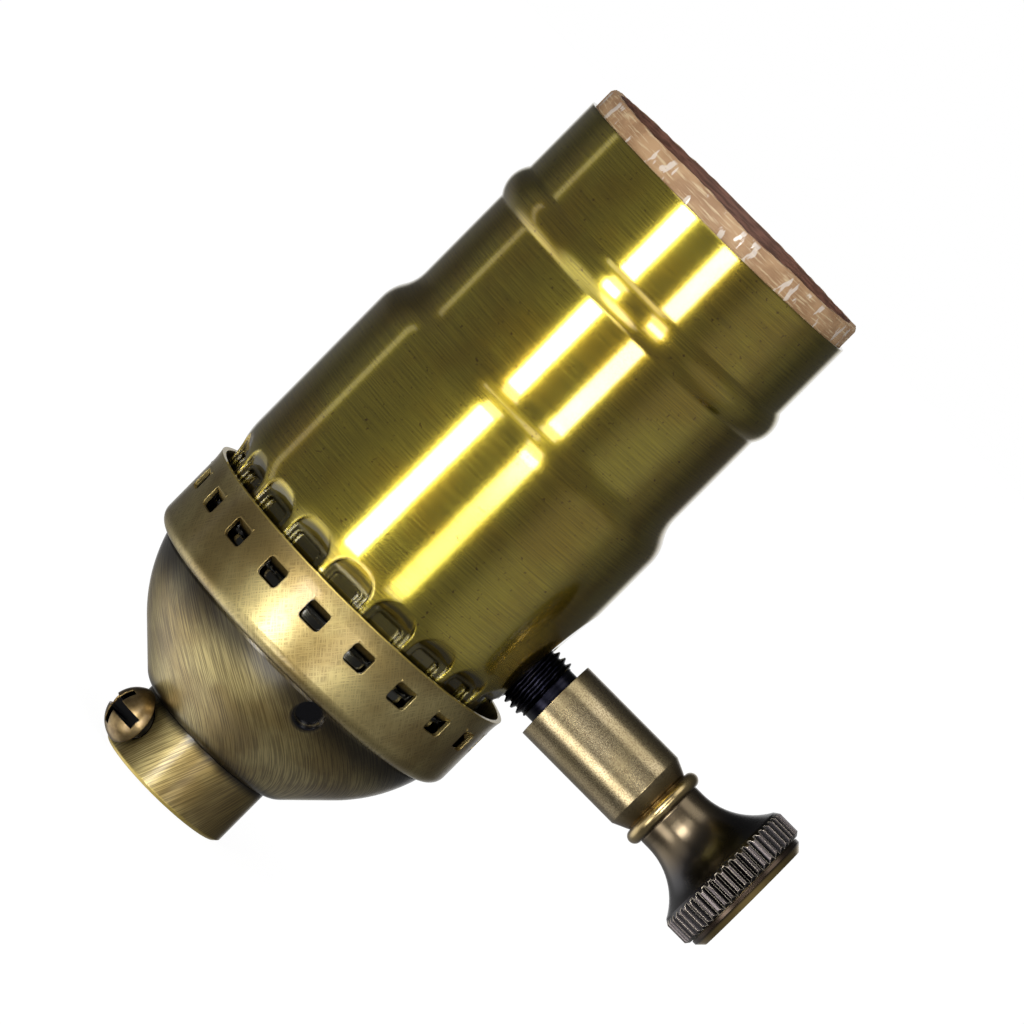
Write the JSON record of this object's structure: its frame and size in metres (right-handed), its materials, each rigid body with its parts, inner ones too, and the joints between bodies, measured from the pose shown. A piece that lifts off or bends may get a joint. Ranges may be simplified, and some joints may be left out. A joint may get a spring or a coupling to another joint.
{
  "type": "dimmer lamp socket",
  "caption": "Lamp socket with a pressed metal shell and cap, a threaded hub for a nipple, and a side knob that turns a dimmer.",
  "frame": {"origin": "centre of the hub's open face, on the axis of the nipple's bore", "axes": "+Z along the lamp's axis from the hub to the mouth, +X along the knob's axis"},
  "size_m": [0.0656, 0.037, 0.0778],
  "materials": {
    "antique_brass": "antiqued, brushed and lacquered",
    "antique_brass_hub": "antiqued and brushed",
    "antique_brass_screw": "antiqued",
    "lacquered_brass": "polished under clear lacquer",
    "fibre": "vulcanised fibre, cut edge",
    "nickelled_shell": "drawn, plain",
    "phenolic": "moulded phenolic",
    "phenolic_plate": "moulded phenolic",
    "zinc_steel": "zinc plated",
    "brass_rivet": "plain",
    "brass_strip": "plain strip",
    "nickelled_strip": "nickelled strip",
    "nickelled_screw": "nickelled",
    "brass_screw": "plain",
    "paper_laminate": "phenolic paper board",
    "epoxy_black": "moulded epoxy",
    "film_box": "moulded box",
    "wound_copper": "enamelled winding on ferrite",
    "diac_glass": "coated glass",
    "resistor_lacquer": "lacquered",
    "pot_plastic": "moulded",
    "black_oxide_bushing": "blackened",
    "track_laminate": "phenolic paper with a carbon track",
    "tinned_brass": "tinned",
    "antique_brass_knob": "antiqued, knurled",
    "black_oxide_shaft": "blackened",
    "rotor_plastic": "moulded acetal",
    "spring_bronze": "spring strip",
    "spring_brass": "spring strip"
  },
  "bodies": {
    "socket": {"cap": "antique_brass", "cap_hub": "antique_brass_hub", "hub_screw": "antique_brass_screw", "shell": "lacquered_brass", "shell_liner": "fibre", "screw_shell": "nickelled_shell", "socket_body": "phenolic", "base_plate": "phenolic_plate", "base_screws": "zinc_steel", "shell_rivets": "brass_rivet", "contact_strap": "brass_strip", "contact_rivet": "brass_rivet", "neutral_strap": "nickelled_strip", "neutral_screw": "nickelled_screw", "hot_strap": "brass_strip", "hot_screw": "brass_screw", "circuit_board": "paper_laminate", "triac": "epoxy_black", "capacitor": "film_box", "choke": "wound_copper", "diac": "diac_glass", "resistor": "resistor_lacquer", "pot_case": "pot_plastic", "pot_bushing": "black_oxide_bushing", "pot_track": "track_laminate", "pot_terminals": "tinned_brass"},
    "rotor": {"knob": "antique_brass_knob", "shaft": "black_oxide_shaft", "pot_rotor": "rotor_plastic", "pot_wiper": "spring_bronze"},
    "tongue": {"contact_tongue": "spring_brass"}
  },
  "joints": [
    {"name": "knob_turn", "type": "hinge", "parent": "socket", "child": "rotor", "pos_m": [0.0207, 0, 0.0326], "axis": [-1, 0, 0], "range_deg": [0, 300]},
    {"name": "contact_flex", "type": "hinge", "parent": "socket", "child": "tongue", "pos_m": [-0.00237, 0, 0.04665], "axis": [0, 1, 0], "range_deg": [0, 12], "stiffness_Nm_per_rad": 0.16}
  ]
}
